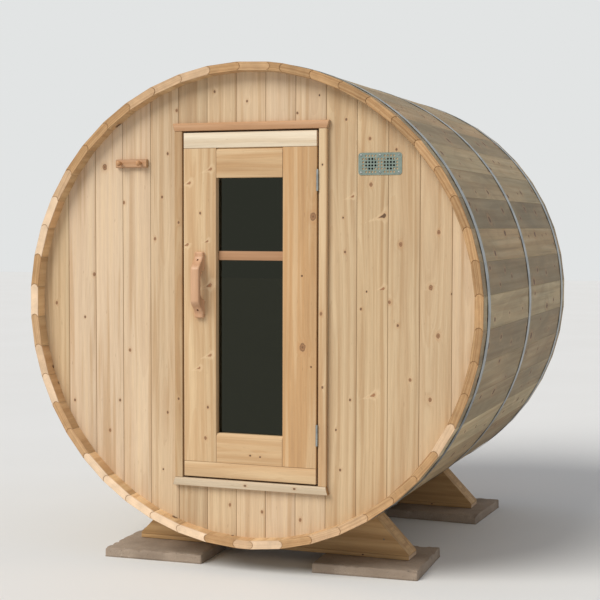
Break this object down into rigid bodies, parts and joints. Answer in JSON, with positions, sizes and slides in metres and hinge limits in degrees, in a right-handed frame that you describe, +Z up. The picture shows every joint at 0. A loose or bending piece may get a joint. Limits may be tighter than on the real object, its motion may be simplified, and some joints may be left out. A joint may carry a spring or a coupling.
{
  "type": "barrel sauna",
  "caption": "Round wooden barrel cabin of cedar staves hooped with steel bands, with a hinged glazed door, on two arched cradles.",
  "frame": {"origin": "on the ground, under the middle of the whole outline", "axes": "+X to the right seen from the front, +Y from the door towards the rear wall, +Z up"},
  "size_m": [1.9535, 1.853, 2.0548],
  "materials": {
    "cedar": "planed, unfinished",
    "cedar_heartwood": "planed, unfinished",
    "band_steel": "satin",
    "hinge_steel": "galvanised",
    "vent_metal": "matt",
    "tinted_glass": "dark tinted, clear",
    "concrete": "weathered"
  },
  "bodies": {
    "cabin": {"staves_top": "cedar", "staves_upper_left": "cedar", "staves_left": "cedar", "staves_lower_left": "cedar", "staves_bottom": "cedar", "staves_lower_right": "cedar", "staves_right": "cedar", "staves_upper_right": "cedar", "band_front": "band_steel", "band_middle": "band_steel", "band_rear": "band_steel", "tensioner_bolts": "band_steel", "rear_wall": "cedar", "front_wall_left": "cedar", "front_wall_right": "cedar", "front_wall_over_door": "cedar", "front_wall_under_door": "cedar", "door_casing_left": "cedar", "door_casing_right": "cedar", "door_casing_head": "cedar_heartwood", "door_sill": "cedar", "door_stop_jambs": "cedar", "door_stop_head": "cedar", "door_stop_foot": "cedar", "vent_plate": "vent_metal", "peg_rail": "cedar_heartwood", "cradle_front_plates": "cedar", "cradle_front_ends": "cedar", "cradle_front_base": "cedar", "cradle_rear_plates": "cedar", "cradle_rear_ends": "cedar", "cradle_rear_base": "cedar", "pads": "concrete", "floor_slats": "cedar", "floor_bearers": "cedar", "hinge_jamb_leaves": "hinge_steel", "hinge_pins": "hinge_steel"},
    "door": {"door_top_board": "cedar", "door_bottom_board": "cedar", "door_stile_left": "cedar", "door_stile_right": "cedar", "door_top_rail": "cedar", "door_bottom_rail": "cedar", "door_glazing_bar": "cedar_heartwood", "door_glass": "tinted_glass", "door_handle": "cedar", "hinge_door_leaves": "hinge_steel"}
  },
  "joints": [
    {"name": "door_hinge", "type": "hinge", "parent": "cabin", "child": "door", "pos_m": [0.29975, -0.87, 1.078], "axis": [0, 0, 1], "range_deg": [0, 110]}
  ]
}
